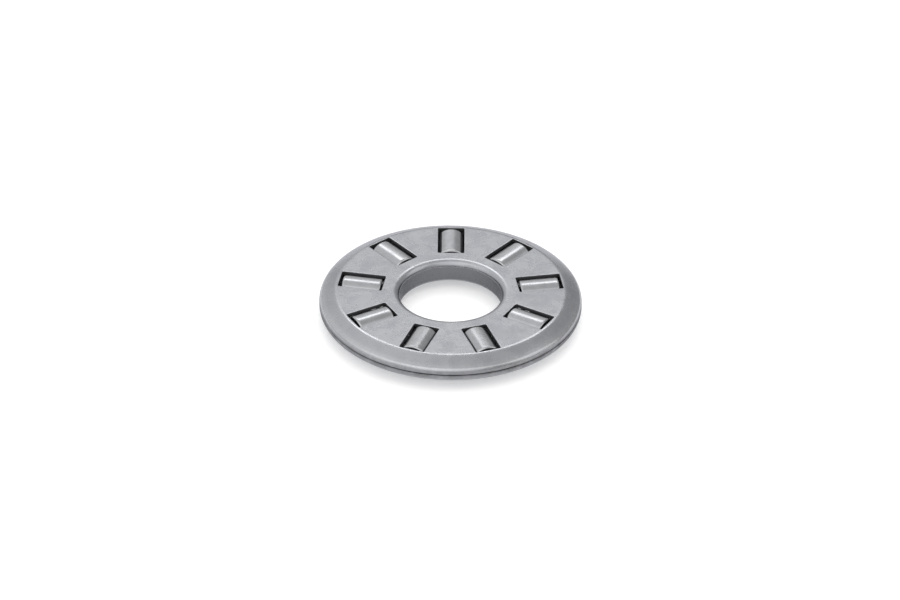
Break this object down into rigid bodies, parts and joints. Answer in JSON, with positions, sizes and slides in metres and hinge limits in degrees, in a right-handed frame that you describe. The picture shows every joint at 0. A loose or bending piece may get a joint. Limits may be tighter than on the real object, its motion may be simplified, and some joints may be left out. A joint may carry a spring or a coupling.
{
  "type": "thrust roller bearing cage assembly",
  "caption": "Flat ring of cylindrical rollers lying radially in the pockets of a two-piece pressed steel cage, for axial load between flat raceways around a shaft.",
  "frame": {"origin": "centre of the bearing, on its axis and in the plane through all the rollers' axes, where the two cage halves meet", "axes": "+Z along the bearing's axis, towards the cage half whose long flange lines the bore; +Y radial, along the axis of roller_1; the rollers are numbered from +Y towards +X"},
  "size_m": [0.0164, 0.0164, 0.002],
  "materials": {
    "cage_steel": "pressed sheet steel, satin, lightly tumbled edges",
    "roller_steel": "hardened bearing steel, ground and polished"
  },
  "bodies": {
    "cage": {"upper_cage_half": "cage_steel", "lower_cage_half": "cage_steel"},
    "roller_1": {"roller_1": "roller_steel"},
    "roller_2": {"roller_2": "roller_steel"},
    "roller_3": {"roller_3": "roller_steel"},
    "roller_4": {"roller_4": "roller_steel"},
    "roller_5": {"roller_5": "roller_steel"},
    "roller_6": {"roller_6": "roller_steel"},
    "roller_7": {"roller_7": "roller_steel"},
    "roller_8": {"roller_8": "roller_steel"},
    "roller_9": {"roller_9": "roller_steel"}
  },
  "joints": [
    {"name": "roller_1_spin", "type": "hinge", "parent": "cage", "child": "roller_1", "pos_m": [0, 0.00563, 0], "axis": [0, 1, 0], "continuous": true},
    {"name": "roller_2_spin", "type": "hinge", "parent": "cage", "child": "roller_2", "pos_m": [0.00362, 0.00431, 0], "axis": [0.6428, 0.766, 0], "continuous": true},
    {"name": "roller_3_spin", "type": "hinge", "parent": "cage", "child": "roller_3", "pos_m": [0.00555, 0.00098, 0], "axis": [0.9848, 0.1736, 0], "continuous": true},
    {"name": "roller_4_spin", "type": "hinge", "parent": "cage", "child": "roller_4", "pos_m": [0.00488, -0.00282, 0], "axis": [0.866, -0.5, 0], "continuous": true},
    {"name": "roller_5_spin", "type": "hinge", "parent": "cage", "child": "roller_5", "pos_m": [0.00193, -0.00529, 0], "axis": [0.342, -0.9397, 0], "continuous": true},
    {"name": "roller_6_spin", "type": "hinge", "parent": "cage", "child": "roller_6", "pos_m": [-0.00193, -0.00529, 0], "axis": [-0.342, -0.9397, 0], "continuous": true},
    {"name": "roller_7_spin", "type": "hinge", "parent": "cage", "child": "roller_7", "pos_m": [-0.00488, -0.00282, 0], "axis": [-0.866, -0.5, 0], "continuous": true},
    {"name": "roller_8_spin", "type": "hinge", "parent": "cage", "child": "roller_8", "pos_m": [-0.00555, 0.00098, 0], "axis": [-0.9848, 0.1736, 0], "continuous": true},
    {"name": "roller_9_spin", "type": "hinge", "parent": "cage", "child": "roller_9", "pos_m": [-0.00362, 0.00431, 0], "axis": [-0.6428, 0.766, 0], "continuous": true}
  ]
}
